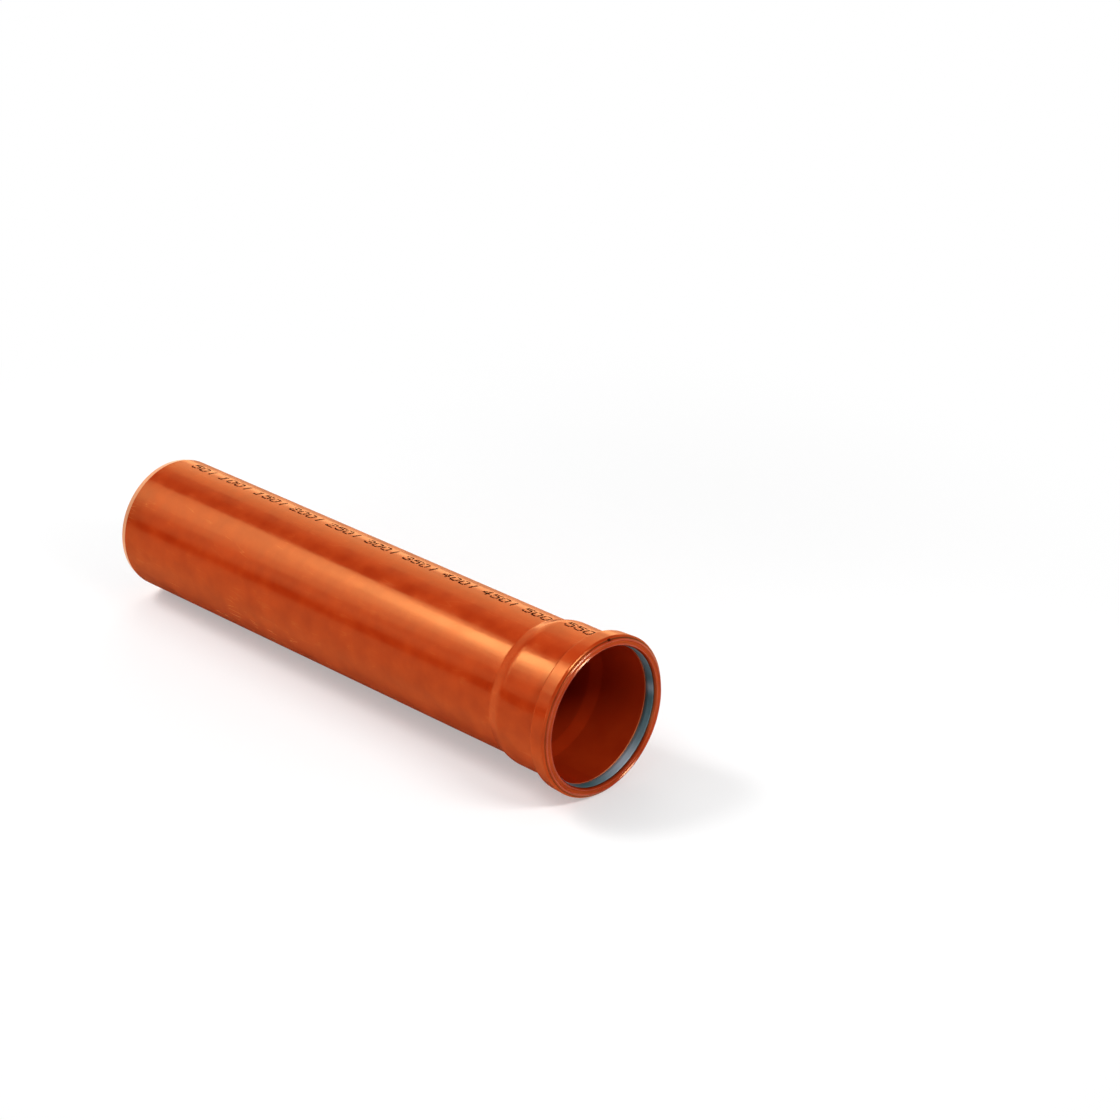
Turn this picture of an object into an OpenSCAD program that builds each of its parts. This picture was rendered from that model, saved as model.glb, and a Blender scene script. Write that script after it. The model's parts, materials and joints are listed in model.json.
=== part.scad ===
// Push-fit drain pipe: one extruded PVC-U length whose end is formed into a
// socket, with a rubber lip seal held in the socket's bead.
//
// The profile is drawn as [radius, height] along the pipe's own axis, from the
// spigot's tip at height 0 to the socket's mouth, and turned about that axis.
// The finished pipe then lies on the floor, z = 0: the bead is wider than the
// barrel, so the pipe leans a little and rests on the bead and on its spigot.
// The origin is on the floor under the middle of the pipe, the mouth faces +X.

/* [Barrel] */
// Outer diameter of the barrel, the nominal size of the pipe
barrel_od = 125; // [75:1:200]
// Wall of the barrel
barrel_wall = 3.2; // [2.2:0.1:6]
// Laying length, from the spigot's tip to the foot of the socket
laying_length = 500; // [250:10:2000]

/* [Spigot] */
// Length of the chamfer on the spigot, measured along the pipe
chamfer_length = 6; // [3:0.5:9]
// Angle of the chamfer against the axis
chamfer_angle = 15; // [8:1:18]

/* [Socket] */
// Depth to which the next pipe is pushed in, from the mouth
socket_depth = 70; // [45:1:120]
// Radial play between the socket and a pipe of this size pushed in
socket_play = 0.6; // [0.2:0.1:1.5]
// Wall of the socket
socket_wall = 3.2; // [2.2:0.1:6]
// Slope of the shoulder between barrel and socket, against the axis
shoulder_angle = 18; // [12:1:30]
// Hollow radius at the foot of the shoulder, outside
shoulder_foot_radius = 8; // [3:1:15]
// Round radius at the top of the shoulder, outside
shoulder_top_radius = 24; // [10:1:30]

/* [Bead and mouth] */
// Width of the bead, from the mouth to the crease behind the bead
bead_width = 22; // [18:0.5:30]
// Depth of the seal groove below the socket's bore, at its back
groove_depth = 6.4; // [4.5:0.1:9]
// How much deeper the groove is at its front
groove_rise = 0.8; // [0:0.1:1.5]
// Wall of the bead, drawn thinner than the socket as it is formed
bead_wall = 2.8; // [2:0.1:5]
// Slope of the flank behind the bead, against the axis
back_flank_angle = 54; // [40:1:65]
// Slope of the flank in front of the bead, against the axis
front_flank_angle = 75; // [60:1:85]
// Round radius at the back of the bead
bead_back_radius = 1.8; // [1:0.1:2.5]
// Round radius at the front of the bead
bead_front_radius = 3.5; // [2:0.1:4]
// Length of the plain collar between the bead and the mouth
collar_length = 2.6; // [1.5:0.1:3.5]
// Height of the rim round the mouth, from its inner to its outer edge
rim_height = 4; // [3:0.1:5]
// Thickness of the mouth's lip, along the pipe
lip_thickness = 4.8; // [3.8:0.1:6]
// How far the mouth's edge stands back from the socket's bore
mouth_flare = 2; // [1:0.1:3]
// Round radius on the mouth's inner edge
mouth_edge_radius = 1.6; // [0.6:0.1:1.8]
// Round radius on the mouth's outer edge and in the corners of the groove
rim_edge_radius = 0.7; // [0.3:0.1:1]

/* [Seal ring] */
// Clearance between the seal and the walls of its groove
seal_clearance = 0.2; // [0.1:0.05:0.4]
// How far the seal's front edge stands inside the mouth's lip
seal_step = 0.7; // [0.3:0.1:0.9]
// Thickness of the seal's sealing lip, pressed back against its body
seal_lip_thickness = 1.8; // [1:0.1:2.2]
// Width of the slot between the sealing lip and the body
seal_slot = 1.2; // [0.8:0.1:1.6]
// Round radius on the seal's edges
seal_edge_radius = 0.5; // [0.2:0.1:0.6]

/* [Hidden] */
$fn = 180;
arc_step = 9;

// Radii, from the barrel outwards.
barrel_r = barrel_od / 2;
barrel_bore_r = barrel_r - barrel_wall;
tip_r = barrel_r - chamfer_length * tan(chamfer_angle);
socket_bore_r = barrel_r + socket_play;
socket_r = socket_bore_r + socket_wall;
groove_back_r = socket_bore_r + groove_depth;
groove_front_r = groove_back_r + groove_rise;
bead_back_r = groove_back_r + bead_wall;
bead_front_r = groove_front_r + bead_wall;
mouth_r = socket_bore_r + mouth_flare;
rim_r = mouth_r + rim_height;

// Heights along the axis, from the spigot's tip to the mouth.
stop_h = laying_length;
mouth_h = laying_length + socket_depth;
shoulder_rise = socket_r - barrel_r;
shoulder_length = shoulder_rise / tan(shoulder_angle);
shoulder_foot_h = stop_h - shoulder_length / 2;
shoulder_top_h = stop_h + shoulder_length / 2;
crease_h = mouth_h - bead_width;
bead_back_h = crease_h + (bead_back_r - socket_r) / tan(back_flank_angle);
collar_h = mouth_h - collar_length;
bead_front_h = collar_h - (bead_front_r - rim_r) / tan(front_flank_angle);
groove_front_h = mouth_h - lip_thickness;

// How far a bend's inner corner lies along the axis from its outer corner,
// for a wall of thickness t that turns by an angle.
function mitre(t, turn) = t * tan(turn / 2);

shoulder_foot_in_h = shoulder_foot_h + mitre(barrel_wall, shoulder_angle);
shoulder_in_length = (socket_bore_r - barrel_bore_r) / tan(shoulder_angle);
shoulder_top_in_h = shoulder_foot_in_h + shoulder_in_length;
crease_in_h = crease_h + mitre(socket_wall, back_flank_angle);
groove_back_h = crease_in_h + groove_depth / tan(back_flank_angle);

// A corner is [radius, height, rounding], and a rounding of 0 keeps it sharp.
function place(corner) = [corner[0], corner[1]];
function unit(v) = v / norm(v);

// The part of the edge from corner p to corner q that p's rounding may take:
// the two roundings share the edge in proportion to their radii.
function share(p, q) = norm(place(q) - place(p)) * p[2] / (p[2] + q[2]);

// Points along the arc that rounds corner p, between the corners a and b. Its
// radius is as stated, or what the shorter of its two shares can hold.
function rounded(a, p, b) =
    let (
        u = unit(place(a) - place(p)),
        v = unit(place(b) - place(p)),
        half = acos(u * v) / 2,
        radius = min(p[2], min(share(p, a), share(p, b)) * tan(half)),
        centre = place(p) + unit(u + v) * radius / sin(half),
        start = place(p) + u * radius / tan(half) - centre,
        turn = (u.x * v.y - u.y * v.x > 0 ? -1 : 1) * (180 - 2 * half),
        steps = max(2, ceil(abs(turn) / arc_step))
    )
    [
        for (i = [0:steps])
            let (t = turn * i / steps)
            centre + [start.x * cos(t) - start.y * sin(t), start.x * sin(t) + start.y * cos(t)]
    ];

// A closed outline with its corners rounded.
function outline(corners) =
    let (n = len(corners))
    [
        for (i = [0:n - 1])
            let (p = corners[i])
            each p[2] == 0 ? [place(p)] : rounded(corners[(i + n - 1) % n], p, corners[(i + 1) % n])
    ];

// The pipe's wall, up the outside from the spigot's tip and down the inside.
pipe_outline = outline([
    [tip_r, 0, 0],
    [barrel_r, chamfer_length, 0],
    [barrel_r, shoulder_foot_h, shoulder_foot_radius],
    [socket_r, shoulder_top_h, shoulder_top_radius],
    [socket_r, crease_h, 0.6],
    [bead_back_r, bead_back_h, bead_back_radius],
    [bead_front_r, bead_front_h, bead_front_radius],
    [rim_r, collar_h, rim_edge_radius],
    [rim_r, mouth_h, rim_edge_radius],
    [mouth_r, mouth_h, mouth_edge_radius],
    [mouth_r, groove_front_h, rim_edge_radius],
    [groove_front_r, groove_front_h, rim_edge_radius],
    [groove_back_r, groove_back_h, rim_edge_radius],
    [socket_bore_r, crease_in_h, rim_edge_radius],
    [socket_bore_r, shoulder_top_in_h, shoulder_foot_radius],
    [barrel_bore_r, shoulder_foot_in_h, shoulder_foot_radius],
    [barrel_bore_r, 0, 0]
]);

// Heights and radii of the seal's section. Its sealing lip is drawn pressed
// back level with the socket's bore, as it stands with a pipe pushed in.
seal_front_h = groove_front_h - seal_clearance;
seal_back_h = groove_back_h + seal_clearance;
seal_front_r = groove_front_r - seal_clearance;
seal_back_r = groove_back_r - seal_clearance;
slot_in_r = socket_bore_r + seal_lip_thickness;
slot_out_r = slot_in_r + seal_slot;
slot_root_h = (seal_front_h + seal_back_h) / 2;
throat_r = mouth_r - seal_step;
throat_h = seal_front_h - (throat_r - socket_bore_r) * 2;
slot_rounding = seal_slot * 0.45;

// The seal's section: a body in the groove and a lip that trails behind it.
seal_outline = outline([
    [seal_front_r, seal_front_h, seal_edge_radius],
    [seal_back_r, seal_back_h, seal_edge_radius],
    [slot_out_r, seal_back_h, seal_edge_radius],
    [slot_out_r, slot_root_h, slot_rounding],
    [slot_in_r, slot_root_h, slot_rounding],
    [slot_in_r, seal_back_h, seal_edge_radius],
    [socket_bore_r, seal_back_h, seal_edge_radius],
    [socket_bore_r, throat_h, shoulder_foot_radius],
    [throat_r, seal_front_h, seal_edge_radius]
]);

// How the pipe lies: tipped down at the spigot until both ends touch the floor.
crest_r = max([for (p = pipe_outline) p.x]);
crest_h = max([for (p = pipe_outline) if (p.x == crest_r) p.y]);
lean = atan2(crest_r - barrel_r, crest_h - chamfer_length);
lift = max([for (p = pipe_outline) p.x * cos(lean) - p.y * sin(lean)]);
front_x = max([for (p = pipe_outline) p.y * cos(lean) + p.x * sin(lean)]);
back_x = min([for (p = pipe_outline) p.y * cos(lean) - p.x * sin(lean)]);

module lying() {
    translate([-(front_x + back_x) / 2, 0, lift])
        rotate([0, 90 - lean, 0])
            children();
}

module turned(section) {
    rotate_extrude() polygon(section);
}

// The extruded pipe with its chamfered spigot and formed socket, in one piece.
module pipe() {
    color("#b8491f") lying() turned(pipe_outline);
}

// The rubber lip seal in the groove of the bead.
module seal_ring() {
    color("#4e6a70") lying() turned(seal_outline);
}

pipe();
seal_ring();
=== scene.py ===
# %% [markdown]
# # A short length of push-fit drain pipe
#
# The object is a piece of orange-brown plastic drain pipe: a plain barrel with a chamfered
# spigot at one end, and at the other end a socket whose bead holds a rubber lip seal. It lies on
# the floor, leaning about one degree, because the bead is wider than the barrel.
#
# The shapes and sizes were settled in CAD. This lesson loads that model as a fixed frame and
# gives every visible surface its finish. It works in the pipe's own coordinates: a length along
# the axis, a radius and an angle.

# %% Load the frame
import json
import math

import bpy
import numpy as np
from mathutils import Matrix, Vector


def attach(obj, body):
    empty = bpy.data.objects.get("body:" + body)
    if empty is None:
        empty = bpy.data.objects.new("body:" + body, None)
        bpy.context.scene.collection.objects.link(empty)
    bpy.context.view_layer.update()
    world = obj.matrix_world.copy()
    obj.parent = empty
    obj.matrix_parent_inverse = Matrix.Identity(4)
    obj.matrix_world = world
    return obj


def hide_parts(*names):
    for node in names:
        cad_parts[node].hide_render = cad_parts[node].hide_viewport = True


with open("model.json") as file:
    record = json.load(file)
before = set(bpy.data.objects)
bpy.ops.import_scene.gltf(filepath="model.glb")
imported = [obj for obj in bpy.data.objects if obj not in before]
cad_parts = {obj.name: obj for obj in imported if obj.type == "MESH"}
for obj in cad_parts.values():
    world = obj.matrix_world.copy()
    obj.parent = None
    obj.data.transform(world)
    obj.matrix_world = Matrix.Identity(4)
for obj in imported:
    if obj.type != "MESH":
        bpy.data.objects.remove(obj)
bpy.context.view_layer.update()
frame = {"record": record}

# %% [markdown]
# ## The camera
#
# The camera stands low on the mouth's side and looks along the pipe and down, so that the mouth
# faces it and the barrel runs away to the left. A long lens keeps the two ends nearly the same
# size. It is placed by the point it looks at, two angles and a distance.

# %% Camera
LOOKS_AT = Vector((0.23153, 0.0, 0.20313))
AZIMUTH, ELEVATION, DISTANCE = math.radians(44.283), math.radians(26.844), 2.6499

camera_data = bpy.data.cameras.new("camera")
camera_data.lens = 102.24
camera_data.sensor_width = 36.0
camera = bpy.data.objects.new("camera", camera_data)
bpy.context.scene.collection.objects.link(camera)
bpy.context.scene.camera = camera

backwards = Vector((
    math.sin(AZIMUTH) * math.cos(ELEVATION),
    -math.cos(AZIMUTH) * math.cos(ELEVATION),
    math.sin(ELEVATION),
))
camera.location = LOOKS_AT + backwards * DISTANCE
camera.rotation_mode = "QUATERNION"
camera.rotation_quaternion = (-backwards).to_track_quat("-Z", "Y")
print("camera at", [round(v, 3) for v in camera.location])

# %% [markdown]
# ## The pipe's own coordinates
#
# Everything on a pipe is turned about one axis, so it is easiest to say in three numbers: h, the
# length along the axis from the spigot's tip, r, the distance from the axis, and phi, the angle
# round it from the top. The frame's mounts give the axis: a point on it, its direction, and the
# two end faces.

# %% Axis and directions
MM = 0.001
mounts = {m["name"]: m for m in frame["record"]["mounts"]}


def mount(name, key="pos_m"):
    """A mount's place, or its axis, as an array."""
    return np.array(mounts[name][key], float)


axis = mount("mouth_rim", "axis")
side = np.array([0.0, 1.0, 0.0])
up = np.cross(axis, side)
on_axis = mount("barrel_bore")
start = on_axis + axis * ((mount("spigot_end") - on_axis) @ axis)
LENGTH = (mount("mouth_rim") - start) @ axis / MM
LEAN = math.atan2(axis[2], axis[0])
print(f"length {LENGTH:.1f} mm, lean {math.degrees(LEAN):.3f} degrees")


def on_pipe(h, r, phi):
    """Points in metres from the pipe's coordinates in millimetres and radians:
    start + h along the axis + r in the direction that phi turns from up towards the side."""
    h, r, phi = np.broadcast_arrays(h, r, phi)
    out = np.cos(phi)[..., None] * up + np.sin(phi)[..., None] * side
    return start + MM * (h[..., None] * axis + r[..., None] * out)


# %% [markdown]
# ## The pipe's wall
#
# The real pipe is one extruded tube. Its end was heated and pushed over a mandrel, which made
# the shoulder, the socket and the bead in one go, so its wall is one outline turned about the
# axis. A bought lathe modifier would do it too, but as a function of two parameters the surface
# can also carry what the forming leaves behind: a wall that is a few hundredths of a millimetre
# out of true, so that reflections waver as they do on the real one.
#
# The outline's sharp corners come first, with the radius of each bend. The sizes are the CAD
# model's, and the mouth is finer here. The bead's front is a narrow flat between two soft bends,
# which catches the light as a line. The rim is a valley between two ridges, the mouth tapers
# inwards to hold the seal, and the seal's seat is as wide as the rubber that shows.

# %% Outline of the wall
barrel_r = mounts["spigot"]["dims"]["r_mm"]
barrel_bore_r = mounts["barrel_bore"]["dims"]["r_mm"]
socket_bore_r = mounts["socket_bore"]["dims"]["r_mm"]
WALL = barrel_r - barrel_bore_r
SOCKET_DEPTH, CHAMFER_LENGTH, CHAMFER_ANGLE = 70.0, 6.0, 15.0
SHOULDER_ANGLE, FOOT_RADIUS, TOP_RADIUS = 18.0, 8.0, 24.0
BEAD_WIDTH, BEAD_WALL, GROOVE_DEPTH, GROOVE_RISE = 22.0, 2.8, 6.4, 0.8
BACK_FLANK, FRONT_FLANK = 54.0, 75.0
COLLAR_LENGTH, RIM_HEIGHT, LIP_THICKNESS, MOUTH_FLARE = 1.9, 5.3, 4.8, 2.0
OUTER_RIDGE_BEVEL, OUTER_RIDGE_WIDTH = 0.8, 1.5
OUTER_RIDGE_STEP = 0.3  # back from the mouth
VALLEY_DEPTH, VALLEY_START = 1.2, 2.3  # back from the mouth, and in from the rim's outside
INNER_RIDGE_WIDTH, INNER_RIDGE_OVERHANG = 1.0, 0.2
TAPER_DEPTH, TAPER_STEP = 3.4, 0.1  # how deep the mouth tapers, and how wide of the bore it ends
SEAT_DEPTH, SEAT_FLANK = 13.1, 2.0  # both along the pipe


def tan(degrees):
    """The tangent of an angle in degrees."""
    return math.tan(math.radians(degrees))


socket_r = socket_bore_r + WALL
groove_back_r = socket_bore_r + GROOVE_DEPTH
groove_front_r = groove_back_r + GROOVE_RISE
bead_back_r, bead_front_r = groove_back_r + BEAD_WALL, groove_front_r + BEAD_WALL
mouth_r = socket_bore_r + MOUTH_FLARE
rim_r = mouth_r + RIM_HEIGHT

shoulder_half = (socket_r - barrel_r) / tan(SHOULDER_ANGLE) / 2
foot_h = LENGTH - SOCKET_DEPTH - shoulder_half
top_h = LENGTH - SOCKET_DEPTH + shoulder_half
foot_in_h = foot_h + WALL * tan(SHOULDER_ANGLE / 2)
top_in_h = foot_in_h + 2 * shoulder_half
crease_h = LENGTH - BEAD_WIDTH
bead_back_h = crease_h + (bead_back_r - socket_r) / tan(BACK_FLANK)
collar_h = LENGTH - COLLAR_LENGTH
bead_front_h = collar_h - (bead_front_r - rim_r) / tan(FRONT_FLANK)
groove_front_h = LENGTH - LIP_THICKNESS
lip_h, lip_r = LENGTH - TAPER_DEPTH, socket_bore_r + TAPER_STEP
seat_h = LENGTH - SEAT_DEPTH
seat_top_h = seat_h + SEAT_FLANK
print(f"shoulder from {foot_h:.1f} to {top_h:.1f} mm, bead from {crease_h:.1f} mm to the collar, "
      f"seal's seat from {seat_h:.1f} mm")

# %% Corners of the wall
BEAD_FRONT_RADIUS, BEAD_FRONT_TILT, BEAD_FRONT_SOFT = 2.8, 45, 1.5


def bevelled(before, corner, after, radius, tilt, soft):
    """Two softer corners in place of one that is rounded to a radius. They lie where the
    corner's two edges cross a line that touches its arc, and that line's normal is tilted, in
    degrees, from straight out towards the mouth. The arc's centre is as far inside each edge as
    its radius."""
    before, corner, after = (np.array(p, float) for p in (before, corner, after))
    into, out = (v / np.linalg.norm(v) for v in (corner - before, after - corner))
    half = math.acos(float(-into @ out)) / 2
    centre = corner + (out - into) / np.linalg.norm(out - into) * radius / math.sin(half)
    normal = np.array([math.sin(math.radians(tilt)), math.cos(math.radians(tilt))])
    spare = normal @ (corner - centre) - radius
    return [(*(corner - into * spare / (normal @ into)), soft),
            (*(corner - out * spare / (normal @ out)), soft)]


bead_front = bevelled((bead_back_h, bead_back_r), (bead_front_h, bead_front_r), (collar_h, rim_r),
                      BEAD_FRONT_RADIUS, BEAD_FRONT_TILT, BEAD_FRONT_SOFT)
pipe_corners = [  # h, r and the bend's radius, up the outside and down the inside
    (0.0, barrel_r - CHAMFER_LENGTH * tan(CHAMFER_ANGLE), 0.25),
    (CHAMFER_LENGTH, barrel_r, 0.5),
    (foot_h, barrel_r, FOOT_RADIUS),
    (top_h, socket_r, TOP_RADIUS),
    (crease_h, socket_r, 0.6),
    (bead_back_h, bead_back_r, 1.8),
    *bead_front,
    (collar_h, rim_r, 0.5),
    (LENGTH - OUTER_RIDGE_STEP - OUTER_RIDGE_BEVEL, rim_r, 0.2),
    (LENGTH - OUTER_RIDGE_STEP, rim_r - OUTER_RIDGE_BEVEL, 0.2),
    (LENGTH - OUTER_RIDGE_STEP, rim_r - OUTER_RIDGE_WIDTH, 0.2),
    (LENGTH - VALLEY_DEPTH, rim_r - VALLEY_START, 0.3),
    (LENGTH - VALLEY_DEPTH, mouth_r + INNER_RIDGE_WIDTH, 0.2),
    (LENGTH, mouth_r - INNER_RIDGE_OVERHANG, 0.35),
    (lip_h, lip_r, 0.35),
    (groove_front_h, groove_front_r, 0.7),
    (seat_top_h, groove_back_r, 0.7),
    (seat_h, socket_bore_r, 0.5),
    (top_in_h, socket_bore_r, FOOT_RADIUS),
    (foot_in_h, barrel_bore_r, FOOT_RADIUS),
    (0.0, barrel_bore_r, 0.2),
]
print(f"{len(pipe_corners)} corners, {2 * socket_r:.1f} mm across the socket, "
      f"{2 * bead_front_r:.1f} mm across the bead")


# %% Round the corners
def unit(v):
    """Rows of v scaled to length one."""
    return v / np.linalg.norm(v, axis=-1, keepdims=True)


def rounded(corners, count=7):
    """A closed outline with its corners rounded. The arc at a corner touches both its edges, so
    its centre lies radius / sin(half) along the bisector, where half is half the corner's angle,
    and its two ends lie radius / tan(half) along the edges. Points between them are the two end
    spokes blended by sin((1 - t) turn) and sin(t turn), over sin(turn)."""
    corners = np.array(corners)
    place, radius = corners[:, :2], corners[:, 2:]
    before, after = unit(np.roll(place, 1, 0) - place), unit(np.roll(place, -1, 0) - place)
    half = np.arccos(np.sum(before * after, 1, keepdims=True)) / 2
    centre = place + unit(before + after) * radius / np.sin(half)
    first = place + before * radius / np.tan(half) - centre
    last = place + after * radius / np.tan(half) - centre
    turn = (math.pi - 2 * half)[:, None, :]
    t = np.linspace(0, 1, count)[None, :, None]
    spokes = np.sin((1 - t) * turn) * first[:, None] + np.sin(t * turn) * last[:, None]
    return (centre[:, None] + spokes / np.sin(turn)).reshape(-1, 2)


def stationed(outline, guard=0.3, spacing=9.0):
    """The same closed outline with more points on its straight runs: one a guard's length from
    each end and one four guards from it, which keep a bend's shading and grime from spreading,
    and others a spacing apart. Points are placed by their length along the outline."""
    ring = np.vstack([outline, outline[:1]])
    steps = np.linalg.norm(np.diff(ring, axis=0), axis=1)
    along = np.concatenate([[0.0], np.cumsum(steps)])
    runs = steps > 4 * guard
    extra = np.concatenate([along[:-1][runs] + guard, along[1:][runs] - guard])
    runs = steps > 10 * guard
    extra = np.concatenate([extra, along[:-1][runs] + 4 * guard, along[1:][runs] - 4 * guard])
    regular = np.arange(0, along[-1], spacing)
    clear = np.abs(regular[:, None] - np.concatenate([along, extra])).min(1) > 2 * guard
    s = np.sort(np.concatenate([along[:-1], extra, regular[clear]]))
    return np.column_stack([np.interp(s, along, ring[:, k]) for k in (0, 1)])


wall_outline = stationed(rounded(pipe_corners))
print(len(wall_outline), "points on the wall's outline")

# %% [markdown]
# A turned piece is a grid: one direction runs round the outline, the other round the axis, and
# both close on themselves, so there is no seam and no pole. The small departures from true are
# whole waves round the pipe, which keeps the grid closed.

# %% Turn an outline into a mesh
AROUND = 280


def out_of_true(h, phi):
    """How far the formed wall stands out of true, in millimetres: a trace of oval, slow waves
    from the extruder's haul-off, and shorter ones where the hot end was formed. Each is a cosine
    of a whole number of turns round the pipe plus a slow drift along it."""
    formed = 1 / (1 + np.exp((foot_h - h) / 6))
    drawn = 0.05 * np.cos(2 * phi + 0.7)
    drawn = drawn + 0.018 * np.cos(5 * phi + h / 61) + 0.010 * np.cos(9 * phi - h / 37 + 2)
    shaped = 0.06 * np.cos(6 * phi + h / 9) + 0.035 * np.cos(14 * phi - h / 7 + 1)
    shaped = shaped + 0.014 * np.cos(31 * phi + h / 5)
    return drawn + formed * shaped


def turned(name, outline, around=AROUND, true=False):
    """A closed mesh turned about the pipe's axis. Point i, j is the outline's point i at the
    angle 2 pi j / around, and it stands out of true unless the piece is moulded true. The outline
    runs up the outside, so that each face, wound from i to i + 1 and then from j to j + 1, looks
    out of the material."""
    phi = 2 * math.pi * np.arange(around) / around
    h, r = outline[:, :1], outline[:, 1:]
    if not true:
        r = r + out_of_true(h, phi)
    points = on_pipe(h, r, phi)
    index = np.arange(len(outline) * around).reshape(len(outline), around)
    ahead = np.roll(index, -1, 0)
    quads = np.stack([index, ahead, np.roll(ahead, -1, 1), np.roll(index, -1, 1)], -1)
    return new_piece(name, points.reshape(-1, 3), quads.reshape(-1, 4))


def new_piece(name, points, faces):
    """An object at the origin whose mesh holds these points and faces, shaded smooth."""
    mesh = bpy.data.meshes.new(name)
    mesh.from_pydata(points, [], faces)
    mesh.polygons.foreach_set("use_smooth", np.ones(len(mesh.polygons), bool))
    mesh.update()
    piece = bpy.data.objects.new(name, mesh)
    bpy.context.scene.collection.objects.link(piece)
    print(name, len(mesh.vertices), "vertices,", len(mesh.polygons), "faces")
    return piece


pipe = turned("pipe_wall", wall_outline)

# %% [markdown]
# Some things vary over the wall that no noise can place: the spigot's end and the edge of the
# seal's seat, which a tool has cut, with a highlight painted on that edge, the crests of the rim's
# two ridges, which are rubbed smooth, where the pipe has been handled and pushed about, the bore,
# where shade is painted, the creases, the valley and the gap behind the lip, where shade is
# painted too, and a darker patch near the spigot. They are worked out for each vertex and kept in
# the mesh as attributes, for the material to read.

# %% Where the wall is machined and worn, and where shade and a highlight are painted
def gauss(x, middle, width):
    """A smooth hump of height one at the middle."""
    return np.exp(-(((x - middle) / width) ** 2))


phi_of = np.tile(2 * math.pi * np.arange(AROUND) / AROUND, len(wall_outline))
phi_of = np.degrees(np.where(phi_of > math.pi, phi_of - 2 * math.pi, phi_of))
h_of, r_of = np.repeat(wall_outline[:, 0], AROUND), np.repeat(wall_outline[:, 1], AROUND)
foremost = np.argmax(wall_outline[:, 0])
inside = np.repeat(np.arange(len(wall_outline)) > foremost, AROUND)

# Cut by a tool: the spigot's end and chamfer, and the edge of the seal's seat. On that edge the
# pale colour is also a painted highlight, low on the far side most of all.
machined = np.where(inside, h_of < 0.25, h_of < CHAMFER_LENGTH + 0.15)
seat_edge = inside * (r_of < socket_bore_r + 0.5) * gauss(h_of, seat_h, 0.4)
machined = machined + seat_edge * (0.3 + 0.6 * gauss(phi_of, 148, 30))

# Rubbed smooth: the crest of the inner ridge, and a little less that of the outer one.
crests = 1.0 * (h_of > LENGTH - 0.5) * (r_of < mouth_r + INNER_RIDGE_WIDTH)
crests += 0.9 * ~inside * (h_of > LENGTH - 0.9) * (r_of > rim_r - 1.7)

# Handled: two strips along the barrel's near side, and the spigot.
worn = 0.25 + 0.75 * gauss(h_of, 150, 110) * (gauss(phi_of, -42, 12) + gauss(phi_of, -112, 14))
worn += 0.7 * gauss(h_of, 0, 12)
worn = np.clip(worn, 0, 1) * ~inside * (h_of < crease_h)

# Inside: painted shade in the bore, less of it low in the mouth, where the light reaches.
bore = inside * (h_of < seat_top_h) * (1 - 0.7 * gauss(h_of, seat_h, 60) * gauss(phi_of, 150, 40))

# Painted shade: in the crease behind the bead, in the one between bead and rim, darkest on top, in
# the rim's valley and in the gap between the lip and the seal. Also a darker patch on the near
# side by the spigot.
grime = 0.35 * ~inside * (r_of < socket_r + 0.8) * gauss(h_of, crease_h, 0.9)
rim_crease = ~inside * (r_of < rim_r + 1.0) * (r_of > rim_r - 0.1) * gauss(h_of, collar_h, 0.6)
grime += (0.6 + 0.4 * gauss(phi_of, 30, 40)) * rim_crease
grime += 0.3 * ~inside * (h_of > LENGTH - 1.3) * gauss(r_of, (rim_r + mouth_r) / 2 - 0.6, 0.9)
grime += 0.35 * ~inside * gauss(h_of, 6, 24) * gauss(phi_of, -60, 26)
grime += 1.0 * inside * (h_of > groove_front_h - 0.1) * (h_of < LENGTH - VALLEY_DEPTH)


def keep(piece, name, values):
    """Stores one number for each vertex in the piece's mesh."""
    piece.data.attributes.new(name, "FLOAT", "POINT").data.foreach_set("value", values)


for name, values in (("machined", machined), ("crests", crests), ("worn", worn),
                     ("bore", bore), ("grime", grime)):
    keep(pipe, name, values.astype(float))
print(f"{machined.mean():.1%} of the vertices are machined")

# %% [markdown]
# ## The seal
#
# The seal is a moulded rubber ring whose body sits in the bead's groove. Its inner face is a
# smooth crown about nine millimetres wide. The crown's crest stands about three quarters of a
# millimetre inside the bore, where a pipe pushed in will press on it. In CAD it is drawn pressed
# back level with the bore, as it stands in a made joint. Here the joint is open, so this piece
# shows it free. It is turned like the wall, from its own outline. A highlight is painted low on
# the ring's far side and in a thin line higher on that side, and its amount is kept as an
# attribute.

# %% Seal ring
SEAL_GAP, SEAL_AROUND = 0.2, 256
CREST_DEPTH, CREST_RISE = 9.3, 0.9  # before its bend: behind the mouth, and inside the bore

seal_corners = [  # h, r and the bend's radius: the back and front of the body, then the crown
    (seat_top_h + 0.1, groove_back_r - SEAL_GAP, 0.5),
    (groove_front_h - SEAL_GAP, groove_front_r - SEAL_GAP, 0.5),
    (lip_h - SEAL_GAP, lip_r - 0.15, 0.45),
    (LENGTH - CREST_DEPTH, socket_bore_r - CREST_RISE, 5.0),
    (seat_h + SEAL_GAP + 0.15, socket_bore_r + 0.4, 0.3),
]
seal_outline = stationed(rounded(seal_corners), spacing=2.0)
seal = turned("seal_ring_free", seal_outline, SEAL_AROUND, true=True)
seal_phi = np.tile(360 * np.arange(SEAL_AROUND) / SEAL_AROUND, len(seal_outline))
# A painted highlight, low on the far side of the ring, and a thin painted line higher on that
# side.
keep(seal, "dust", 0.9 * gauss(seal_phi, 152, 20) + 0.5 * gauss(seal_phi, 88, 5))

# %% [markdown]
# ## The printed line
#
# While the pipe leaves the extruder, an ink-jet head prints a line on it in dots. The real line
# names the maker and the standard. Here it is a plain length scale: a stroke every 50 mm, and
# before each stroke its length from the spigot's tip in millimetres. It has the same place,
# height and dots. One short mark on the mouth's collar shows where the line is.
#
# A texture could show the line. But discs stay sharp from near by, and they are exported as
# shapes. So each dot is a disc of dried ink, a few hundredths of a millimetre thick, whose rim
# follows the wall under it, and the line bends over the shoulder, as print does that was there
# before forming.

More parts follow.
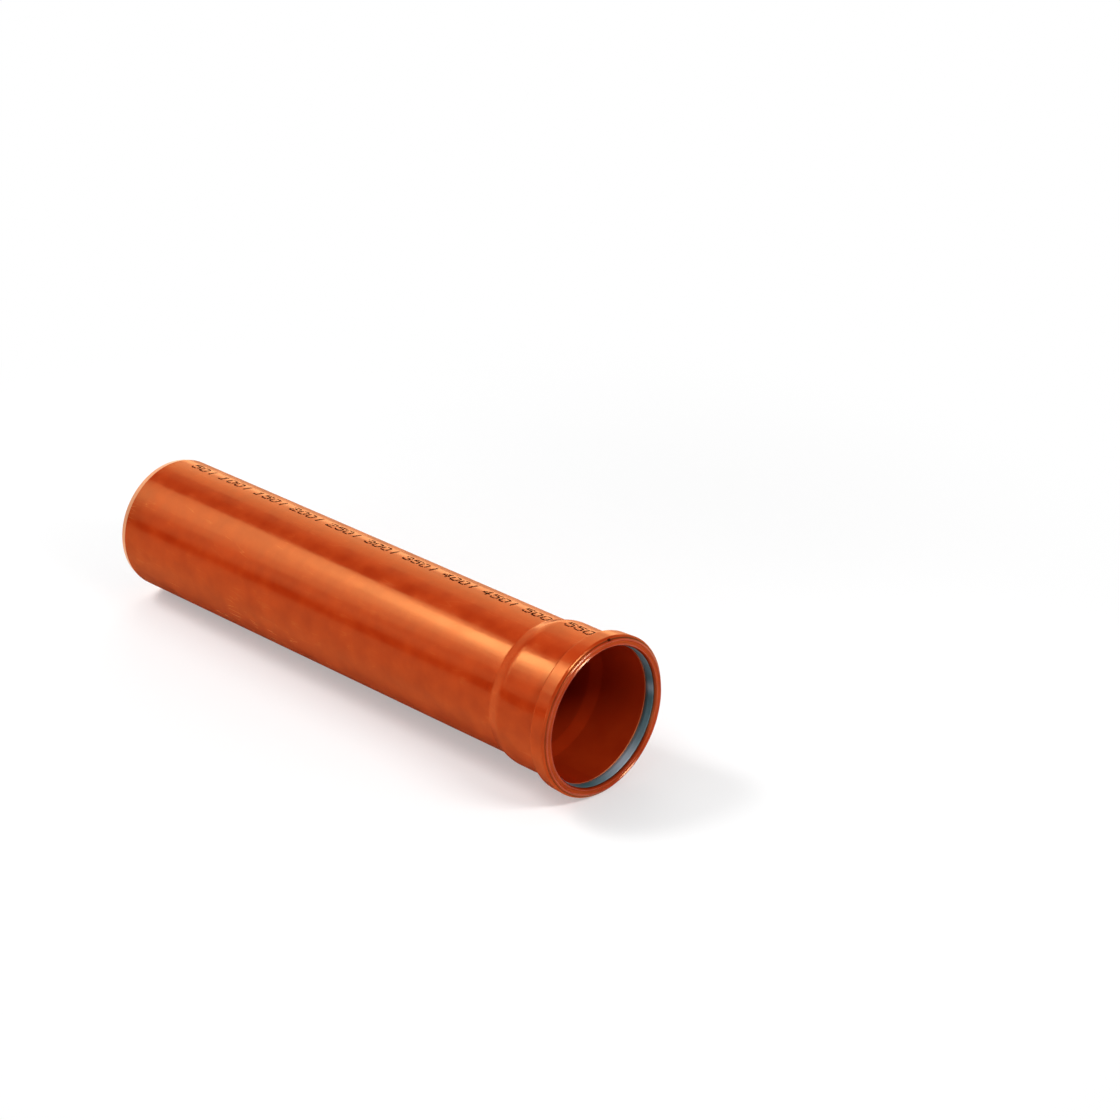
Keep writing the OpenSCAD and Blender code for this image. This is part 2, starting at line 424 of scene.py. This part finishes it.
# %% Dots of the scale
DOT_PITCH_H, DOT_PITCH_ROUND, DOT_DIAMETER = 1.75, 1.55, 2.3
LINE_MIDDLE = math.radians(12.0)
DIGIT_PITCH, NUMBER_GAP, ROWS = 10.7, 4, 7
SCALE_STEP, SCALE_END = 50, 550
MARK_H, MARK_ROWS = 568.4, (-1, -2)
DIGITS = {  # seven rows from the top, five dots wide
    "0": " ###  #   # #   # #   # #   # #   #  ### ",
    "1": "  #    ##     #     #     #     #   ### ",
    "2": " ###  #   #     #   ##   #    #     #####",
    "3": " ###  #   #     #   ##      # #   #  ### ",
    "4": "   #    ##   # #  #  #  #####    #     # ",
    "5": "##### #     ####      #     # #   #  ### ",
    "6": "  ##   #    #     ####  #   # #   #  ### ",
    "7": "#####     #    #    #    #     #     #   ",
    "8": " ###  #   # #   #  ###  #   # #   #  ### ",
    "9": " ###  #   # #   #  ####     #    #   ##  ",
}


def digit_dots(digit):
    """The dots of a digit as columns and rows, counted from its lower left corner."""
    rows = np.array([list(DIGITS[digit][6 * k:6 * k + 5].ljust(5)) for k in range(ROWS)])
    row, column = np.nonzero(rows == "#")
    return np.column_stack([column, ROWS - 1 - row])


def stroke_dots(height):
    """The dots of an upright stroke."""
    return np.column_stack([np.zeros(height, int), np.arange(height)])


marks = [(MARK_H, np.array([(0, row) for row in MARK_ROWS]))]  # a group's left edge, and its dots
for stroke_h in range(SCALE_STEP, SCALE_END + 1, SCALE_STEP):
    marks.append((stroke_h, stroke_dots(ROWS)))
    number = str(stroke_h)
    left = stroke_h - NUMBER_GAP - DIGIT_PITCH * len(number)
    marks += [(left + DIGIT_PITCH * k, digit_dots(d)) for k, d in enumerate(number)]

dots = np.vstack([np.column_stack([h + d[:, 0] * DOT_PITCH_H, d[:, 1] - ROWS // 2])
                  for h, d in marks])
print(len(dots), "ink dots")

# %% Ink discs on the wall
SIDES, INK_THICKNESS = 8, 0.04
DOT_SPREAD, DOT_SIZES = 0.10, (0.78, 1.1)
random = np.random.default_rng(5)
outside = wall_outline[: np.argmax(wall_outline[:, 0] > LENGTH - 0.5)]


def wall_radius(h):
    """The outside radius of the wall at h, read from its outline."""
    return np.interp(h, outside[:, 0], outside[:, 1])


count = len(dots)
spread = random.normal(0, DOT_SPREAD, (count, 2))
size = DOT_DIAMETER / 2 * random.uniform(*DOT_SIZES, (count, 1))
turn = 2 * math.pi * np.arange(SIDES) / SIDES
middle_phi = LINE_MIDDLE + (dots[:, 1:] * DOT_PITCH_ROUND + spread[:, 1:]) / barrel_r
disc_h = dots[:, :1] + spread[:, :1] + size * np.cos(turn)
disc_phi = middle_phi + size * np.sin(turn) / barrel_r
disc_r = wall_radius(disc_h) + out_of_true(disc_h, disc_phi)
top = on_pipe(disc_h, disc_r + INK_THICKNESS, disc_phi)
bottom = on_pipe(disc_h, disc_r - INK_THICKNESS, disc_phi)

first = np.arange(count)[:, None] * 2 * SIDES
ring = first + np.arange(SIDES)
under = ring + SIDES
skirt = np.stack([np.roll(ring, -1, 1), ring, under, np.roll(under, -1, 1)], -1).reshape(-1, 4)
faces = ring.tolist() + under[:, ::-1].tolist() + skirt.tolist()
ink = new_piece("length_scale_ink", np.concatenate([top, bottom], 1).reshape(-1, 3), faces)

# %% [markdown]
# ## Materials
#
# One function turns the hex colours, which are sRGB, to the linear numbers that Blender counts
# in, and one adds a node with its settings and links. The short ones after them stand for the
# nodes that come again and again: a blend of two colours, a stretched range, a sum, a noise of a
# given size in metres, coordinates drawn out along an axis, and a number that the mesh keeps.

# %% Colour and node helpers
def linear(hex_colour):
    """A hex sRGB colour as linear red, green, blue and 1. A channel up to 0.04045 is divided by
    12.92, and above that it is ((c + 0.055) / 1.055) to the power 2.4."""
    c = np.array([int(hex_colour[k:k + 2], 16) for k in (1, 3, 5)]) / 255
    return (*np.where(c <= 0.04045, c / 12.92, ((c + 0.055) / 1.055) ** 2.4).tolist(), 1.0)


def add(tree, kind, inputs=(), **settings):
    """Adds a node to a tree. Settings are the node's own properties, and each input is given by
    its name or number with a value or with the output that feeds it."""
    node = tree.nodes.new("ShaderNode" + kind)
    for name, value in settings.items():
        setattr(node, name, value)
    for socket, value in dict(inputs).items():
        if isinstance(value, bpy.types.NodeSocket):
            tree.links.new(value, node.inputs[socket])
        else:
            node.inputs[socket].default_value = value
    return node


def blend(tree, amount, first, second):
    """The colour between two others, the first at amount 0 and the second at amount 1."""
    return add(tree, "Mix", {0: amount, 6: first, 7: second}, data_type="RGBA").outputs[2]


def ramp(tree, value, low, high, first=0.0, last=1.0, **settings):
    """The range low to high stretched to first to last, and held beyond its ends."""
    return add(tree, "MapRange", {"Value": value, "From Min": low, "From Max": high,
                                  "To Min": first, "To Max": last}, **settings).outputs[0]


def maths(tree, operation, *values, **settings):
    """The result of a maths node. MULTIPLY_ADD is the first times the second plus the third."""
    return add(tree, "Math", dict(enumerate(values)), operation=operation, **settings).outputs[0]


def noise(tree, place, size, detail):
    """A noise between 0 and 1 whose patches are about a size across, in metres."""
    settings = {"Vector": place, "Scale": 1 / size, "Detail": detail}
    return add(tree, "TexNoise", settings).outputs["Fac"]


def stretched(tree, place, scale, turn=(0.0, 0.0, 0.0)):
    """Coordinates scaled along their axes: a small scale draws a pattern out along that axis."""
    return add(tree, "Mapping", {"Vector": place, "Scale": scale, "Rotation": turn}).outputs[0]


def kept(tree, name):
    """A number that the mesh keeps for each vertex."""
    return add(tree, "Attribute", attribute_name=name).outputs["Fac"]


def new_material(name):
    """An empty node material and its tree."""
    material = bpy.data.materials.new(name)
    material.use_nodes = True
    material.node_tree.nodes.clear()
    return material, material.node_tree


def give(piece, material, shader):
    """Ends a material with a shader and gives it to a piece."""
    add(material.node_tree, "OutputMaterial", {"Surface": shader.outputs[0]})
    piece.data.materials.append(material)
    print(f"{piece.name}: {material.name}, {len(material.node_tree.nodes)} nodes")


def pipe_coordinates(tree):
    """Object coordinates turned and moved so that x runs along the pipe from the spigot's tip,
    in metres. The mapping node turns first and then moves, so the move is the start, turned."""
    turned_start = [-start @ axis, -start @ side, -start @ up]
    where = add(tree, "TexCoord").outputs["Object"]
    return add(tree, "Mapping", {"Vector": where, "Location": turned_start,
                                 "Rotation": (0.0, LEAN, 0.0)}).outputs[0]


print(f"the hex colour #808080 is {linear('#808080')[0]:.3f} in linear numbers")

# %% [markdown]
# ### Extruded PVC-U
#
# Unplasticised PVC comes out of the die with a smooth, fairly glossy skin. The sizing sleeve and
# the haul-off leave fine lengthwise lines, and the melt leaves faint patches of tone. The end, the
# chamfer and the edge of the seal's seat were cut by a tool, so they are matt and paler, and on
# the seat's edge that pale colour is also a painted highlight, low on the far side. The bore's
# deeper red is painted shade, painted shade darkens the creases of the bead, the rim's valley and
# the gap behind the lip, a darker patch lies near the spigot, and where the pipe was handled there
# are short, pale scuffs.

# %% PVC-U: patterns
PATCH_SIZE, LINE_SPACING, PEEL_SIZE = 22 * MM, 1.6 * MM, 5 * MM  # real lines are finer, 0.3 mm
SAW_SPACING, SCUFF_SIZE, SCUFF_SLANT = 0.9 * MM, 11 * MM, 0.2  # the slant is in radians

pvc, tree = new_material("extruded_pvc_u")
place = pipe_coordinates(tree)
drawn_out = stretched(tree, place, (0.02, 1.0, 1.0))
patches = noise(tree, place, PATCH_SIZE, 5.0)
lines = noise(tree, drawn_out, LINE_SPACING, 2.0)
peel = noise(tree, place, PEEL_SIZE, 1.0)
saw_marks = stretched(tree, place, (1.0, 0.05, 1.0))
saw = noise(tree, saw_marks, SAW_SPACING, 2.0)
is_machined_or_highlit, is_crest, is_worn, is_bore_shade, is_painted_shade_or_patch = [
    kept(tree, name) for name in ("machined", "crests", "worn", "bore", "grime")]

# Scuffs are the thin lines where a stretched noise crosses its middle value, kept where a second
# noise is high and the pipe is worn.
scuff_place = stretched(tree, place, (0.16, 1.0, 1.0), (0.0, 0.0, SCUFF_SLANT))
scuff_noise = noise(tree, scuff_place, SCUFF_SIZE, 2.0)
off_middle = maths(tree, "ABSOLUTE", maths(tree, "SUBTRACT", scuff_noise, 0.5))
thin = ramp(tree, off_middle, 0.0, 0.02, 0.7, 0.0)
where_scuffed = ramp(tree, patches, 0.5, 0.62)
scuffs = maths(tree, "MULTIPLY", maths(tree, "MULTIPLY", thin, where_scuffed), is_worn)
print(f"{pvc.name}: {len(tree.nodes)} nodes make its patterns")

# %% [markdown]
# The pigment colours the gloss as well, deepest where the wall faces the eye and paler at a
# glancing angle. In the bore it is deeper still, a painted shade for light that has bounced from
# wall to wall, and the bore's deeper red is painted shade too. On the rubbed crests and the cut
# faces the gloss is nearly white.

# %% PVC-U: colour, tint and roughness
FACING_TINT, GRAZING_TINT = (1.0, 0.48, 0.16, 1.0), (1.0, 0.53, 0.26, 1.0)
BORE_TINT, PALE_TINT = (1.0, 0.36, 0.12, 1.0), (1.0, 0.86, 0.68, 1.0)
SMOOTHEST, ROUGHEST = 0.11, 0.23

tone = ramp(tree, patches, 0.3, 0.7)
skin = blend(tree, tone, linear("#A12B09"), linear("#B63910"))
skin = blend(tree, scuffs, skin, linear("#C4602F"))
# The bore's deeper red is painted shade. The pale cut colour is also a painted highlight on the
# seat's edge. The dark colour is painted shade in the creases, the rim's valley and the gap behind
# the lip, and a darker patch near the spigot.
for amount, colour in ((is_bore_shade, "#9E290A"), (is_machined_or_highlit, "#DB8A58"), (is_painted_shade_or_patch, "#571706")):
    skin = blend(tree, amount, skin, linear(colour))

turned_away = add(tree, "LayerWeight", {"Blend": 0.5}).outputs["Facing"]
grazing = ramp(tree, turned_away, 0.55, 0.95)
gloss_tint = blend(tree, grazing, FACING_TINT, GRAZING_TINT)
# In the bore the deeper gloss tint is painted shade.
for amount, tint in ((is_bore_shade, BORE_TINT), (is_crest, PALE_TINT), (is_machined_or_highlit, PALE_TINT)):
    gloss_tint = blend(tree, amount, gloss_tint, tint)

rough = ramp(tree, patches, 0.3, 0.7, SMOOTHEST, ROUGHEST)
for amount, more in ((scuffs, 0.25), (is_machined_or_highlit, 0.35)):
    rough = maths(tree, "MULTIPLY_ADD", amount, more, rough)
print(f"{pvc.name}: {len(tree.nodes)} nodes with colour, tint and roughness")

# %% [markdown]
# The skin is never quite flat: slow swells, a fine peel and the drawn lines stand up to a few
# hundredths of a millimetre, and saw marks are added where the pipe was cut. They make the edges
# of reflections waver.

# %% PVC-U: relief
RELIEF_STEP = 0.01 * MM  # a height of one

height = 0.0
for pattern, depth in ((lines, 0.12), (patches, 4.5), (peel, 1.0)):
    height = maths(tree, "MULTIPLY_ADD", pattern, depth, height)
sawn = maths(tree, "MULTIPLY", saw, is_machined_or_highlit)
height = maths(tree, "MULTIPLY_ADD", sawn, 2.0, height)
relief = add(tree, "Bump", {"Height": height, "Strength": 1.0,
                            "Distance": RELIEF_STEP}).outputs[0]
print(f"{pvc.name}: {len(tree.nodes)} nodes with relief")

# %% [markdown]
# The main shader's specular tint gives the coloured gloss where the wall faces the eye, but it
# leaves a slanting reflection white. So as soon as the wall turns away, the surface changes over
# to a mix of a plain body and a tinted gloss. The gloss's share is the same Fresnel curve, held
# below a half, since a wall that scatters light never turns into a mirror.

# %% PVC-U: shader
PVC_IOR, MOST_MIRRORED = 1.53, 0.42

uneven = {"Roughness": rough, "Normal": relief}
plastic = add(tree, "BsdfPrincipled", {"Base Color": skin, "IOR": PVC_IOR,
                                       "Specular Tint": gloss_tint, **uneven})
body = add(tree, "BsdfDiffuse", {"Color": skin, "Normal": relief})
tinted_gloss = add(tree, "BsdfGlossy", {"Color": gloss_tint, **uneven})
mirrored = add(tree, "Fresnel", {"IOR": PVC_IOR, "Normal": relief}).outputs[0]
mirrored = maths(tree, "MINIMUM", mirrored, MOST_MIRRORED)
slanting = add(tree, "MixShader", {0: mirrored, 1: body.outputs[0], 2: tinted_gloss.outputs[0]})
share = ramp(tree, turned_away, 0.02, 0.12)
shader = add(tree, "MixShader", {0: share, 1: plastic.outputs[0], 2: slanting.outputs[0]})
give(pipe, pvc, shader)

# %% [markdown]
# ### Moulded seal rubber
#
# The seal is a blue-grey rubber, pressed in a polished mould, so it has a soft shine. A pale bloom
# comes to its surface in patches, a painted highlight makes it paler still low on its far side and
# in a thin line, and fine rings run round it where the mould was turned.

# %% Moulded rubber
BLOOM_SIZE, MOULD_RING_SPACING = 26 * MM, 0.7 * MM

rubber, tree = new_material("moulded_seal_rubber")
place = pipe_coordinates(tree)
bloom = ramp(tree, noise(tree, place, BLOOM_SIZE, 5.0), 0.35, 0.75, 0.0, 0.24)
# The bloom and the painted highlight make the rubber paler.
pale = maths(tree, "ADD", bloom, kept(tree, "dust"), use_clamp=True)
tone = blend(tree, pale, linear("#2F5D63"), linear("#A6B4C0"))
rings = stretched(tree, place, (1.0, 0.02, 0.02))
rings = noise(tree, rings, MOULD_RING_SPACING, 1.0)
relief = add(tree, "Bump", {"Height": rings, "Distance": RELIEF_STEP}).outputs[0]
shader = add(tree, "BsdfPrincipled", {"Base Color": tone, "Roughness": 0.32, "IOR": 1.52,
                                      "Normal": relief})
give(seal, rubber, shader)

# %% [markdown]
# ### Printing ink
#
# Solvent ink-jet ink is thin and matt. It dries unevenly, so some dots let more of the orange
# through than others.

# %% Ink
COVER_SIZE = 3 * MM

dried_ink, tree = new_material("solvent_ink")
cover = noise(tree, pipe_coordinates(tree), COVER_SIZE, 2.0)
tone = blend(tree, cover, linear("#1E0804"), linear("#521E0C"))
shader = add(tree, "BsdfPrincipled", {"Base Color": tone, "Roughness": 0.8,
                                      "Specular IOR Level": 0.0})
give(ink, dried_ink, shader)

# %% [markdown]
# ## Ride on the frame
#
# Nothing moves, so every piece rides on the one body, root. The wall and the seal stand for their
# CAD nodes, which are hidden, and the material slot of the record that each piece belongs to is
# printed.

# %% Ride, replace and print the slots
for piece, slot_name in ((pipe, "pvc_body"), (seal, "seal_rubber"), (ink, "pvc_body")):
    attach(piece, "root")
    print(f"{piece.name} rides on root, slot {slot_name}")
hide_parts("pipe")
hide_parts("seal_ring")

# %% [markdown]
# ## Floor, world and lamps
#
# A plain pale floor carries the pipe and its soft shadow. The world is white near the horizon, as
# a studio's walls are, and dimmer overhead. Glossy plastic is drawn by what it mirrors, so the
# softboxes are placed by their reflections. They come in groups, and boxes that overlap add up to
# one light with a soft edge. The key boxes, far behind the spigot, make the bright band along the
# barrel, and the near boxes make it brighter on the socket. The far boxes, beyond the pipe, make
# the sheen along its top, and one overhead softens the whole. The fills light the side that faces
# the camera, and a small strip in front gives the lights on the bead and the rim. A black flag
# behind the spigot makes a dark band low on the barrel. A black card under the pipe is painted
# shadow: it puts the floor's contact shadow into the gloss, for the dark band along the barrel's
# bottom. The gloss sees them, but the camera doesn't.

# %% Floor
FLOOR_REACH, FLOOR_DROP = 14.0, 0.2 * MM
SHADOW_START, SHADOW_END = 0.3, 0.85  # metres from the middle, where the plain white takes over
SQUARE = np.array([(-1, -1, 0), (1, -1, 0), (1, 1, 0), (-1, 1, 0)])


def seen(tree):
    """1 for rays that look at the background, straight, in a gloss or through a clear piece, and
    0 for the rays that light the object: the three ray tests added."""
    path = add(tree, "LightPath").outputs
    straight_or_gloss = maths(tree, "ADD", path["Is Camera Ray"], path["Is Glossy Ray"])
    return maths(tree, "ADD", straight_or_gloss, path["Is Transmission Ray"], use_clamp=True)


floor = new_piece("floor", FLOOR_REACH * SQUARE - (0, 0, FLOOR_DROP), [(0, 1, 2, 3)])
floor_material, tree = new_material("pale_studio_floor")
lit = add(tree, "BsdfPrincipled", {"Base Color": (0.93, 0.93, 0.93, 1.0), "Roughness": 0.9,
                                   "Specular IOR Level": 0.0})
white = add(tree, "Emission", {"Color": (1.0, 1.0, 1.0, 1.0), "Strength": 1.0})
spot = add(tree, "TexCoord").outputs["Object"]
away = add(tree, "VectorMath", {0: spot}, operation="LENGTH").outputs["Value"]
away = ramp(tree, away, SHADOW_START, SHADOW_END, 0.35, 1.0, interpolation_type="SMOOTHSTEP")
pure = maths(tree, "MULTIPLY", seen(tree), away)
shader = add(tree, "MixShader", {0: pure, 1: lit.outputs[0], 2: white.outputs[0]})
give(floor, floor_material, shader)

# %% World
WALL_LEVEL, CEILING_LEVEL = 1.0, 0.25  # what the background shows
BACK_LIGHT, FRONT_LIGHT = 0.30, 0.06  # what it lights the object with

world = bpy.data.worlds.new("studio")
bpy.context.scene.world = world
world.use_nodes = True
tree = world.node_tree
tree.nodes.clear()
direction = add(tree, "TexCoord").outputs["Generated"]
rise = add(tree, "SeparateXYZ", {0: direction}).outputs["Z"]
shown = ramp(tree, rise, 0.25, 0.7, WALL_LEVEL, CEILING_LEVEL)
ahead = add(tree, "SeparateXYZ", {0: direction}).outputs["X"]
dim = ramp(tree, ahead, -0.2, 0.8, BACK_LIGHT, FRONT_LIGHT)
level = add(tree, "Mix", {0: seen(tree), 2: dim, 3: shown}).outputs[0]
background = add(tree, "Background", {"Color": (1.0, 1.0, 1.0, 1.0), "Strength": level})
add(tree, "OutputWorld", {"Surface": background.outputs[0]})
print(f"world: {len(tree.nodes)} nodes")


# %% Softboxes
def softbox(name, x, angles, width, radiance, far=2.9):
    """A rectangular lamp that faces the pipe's middle line from beside it. Its centre is at x,
    and in the plane across the pipe it reaches from one angle to another, in degrees from
    straight up towards +Y, at a distance far: its height there is 2 far tan of half the angle
    between them. Its power is pi times its area times its radiance."""
    middle, half = math.radians(sum(angles) / 2), math.radians(abs(angles[1] - angles[0]) / 2)
    size = (width, 2 * far * math.tan(half))
    data = bpy.data.lights.new(name, "AREA")
    data.shape = "RECTANGLE"
    data.size, data.size_y = size
    data.energy = math.pi * size[0] * size[1] * radiance
    lamp = bpy.data.objects.new(name, data)
    bpy.context.scene.collection.objects.link(lamp)
    back = Vector((0.0, math.sin(middle), math.cos(middle)))
    place = Vector((x, 0.0, 0.06)) + back * far
    turn = Matrix(((1, 0, 0), back.cross(Vector((1, 0, 0))), back)).transposed().to_4x4()
    lamp.matrix_world = Matrix.Translation(place) @ turn
    print(f"{name}: {data.energy:.0f} W")


for box in (  # name, x, the two angles, width, radiance, and the distance where it isn't 2.9 m
    ("key_low", -3.0, (-70, -4), 1.0, 0.7),
    ("key_panel", -2.98, (-55, -4), 1.15, 1.85),
    ("key_middle", -2.98, (-42, -4), 1.15, 1.8),
    ("key_core", -2.6, (-27, -5), 0.4, 2.3),
    ("near_panel", -1.88, (-52, -11.5), 1.15, 1.5),
    ("near_middle", -1.88, (-42, -11.5), 1.15, 3.0),
    ("near_core", -1.88, (-34, -11.5), 1.15, 6.0),
    ("near_peak", -1.88, (-27, -11.5), 1.15, 6.0),
    ("far_side", -2.6, (18, 66), 3.2, 0.5),
    ("far_low", -2.6, (34, 92), 3.2, 0.95),
    ("far_edge", -2.6, (76, 92), 3.2, 1.3),
    ("overhead", -0.6, (-20, 20), 2.4, 0.4),
    ("side_fill", 0.3, (-88, -58), 2.0, 0.75),
    ("low_fill", 0.3, (-89, -74), 2.0, 1.1),
    ("front_strip", 1.07, (-11, 20), 0.22, 34.0, 0.85),
):
    softbox(*box)

# %% Black flag, and a card of painted contact shadow
CLOTH_BLACK = (0.01, 0.01, 0.01, 1.0)
FLAG_Y, FLAG_X, FLAG_TOP = -2.3, (-3.4, -1.0), 0.6
CARD_X, CARD_Y, CARD_DROP = (-0.34, 0.26), 0.1, 0.1 * MM
FADE_START, FADE_END, MOST_BLACK = 0.045, 0.09, 0.8

flag = new_piece("studio_flag", np.array([(FLAG_X[0], FLAG_Y, 0), (FLAG_X[1], FLAG_Y, 0),
                                          (FLAG_X[1], FLAG_Y, FLAG_TOP),
                                          (FLAG_X[0], FLAG_Y, FLAG_TOP)]), [(0, 1, 2, 3)])
flag.visible_camera = False
cloth, tree = new_material("black_flag_cloth")
give(flag, cloth, add(tree, "BsdfDiffuse", {"Color": CLOTH_BLACK}))

# The card is a painted contact shadow under the pipe: only the gloss sees it, black right under
# the pipe and fading to clear at the sides.
shadow_card = new_piece("studio_card", np.array([(CARD_X[0], -CARD_Y, 0), (CARD_X[1], -CARD_Y, 0),
                                          (CARD_X[1], CARD_Y, 0), (CARD_X[0], CARD_Y, 0)]) -
                 (0, 0, CARD_DROP), [(0, 1, 2, 3)])
shadow_card.visible_camera = shadow_card.visible_diffuse = shadow_card.visible_shadow = False
black_card, tree = new_material("black_card")
aside = add(tree, "SeparateXYZ", {0: add(tree, "TexCoord").outputs["Object"]}).outputs["Y"]
aside = maths(tree, "ABSOLUTE", aside)
fade = ramp(tree, aside, FADE_START, FADE_END, MOST_BLACK, 0.0)
black = add(tree, "BsdfDiffuse", {"Color": CLOTH_BLACK})
clear = add(tree, "BsdfTransparent")
shader = add(tree, "MixShader", {0: fade, 1: clear.outputs[0], 2: black.outputs[0]})
give(shadow_card, black_card, shader)

# %% [markdown]
# ## Settings and finish
#
# The standard view transform shows the colours as they are written.

# %% Finish
bpy.context.scene.view_settings.view_transform = "Standard"
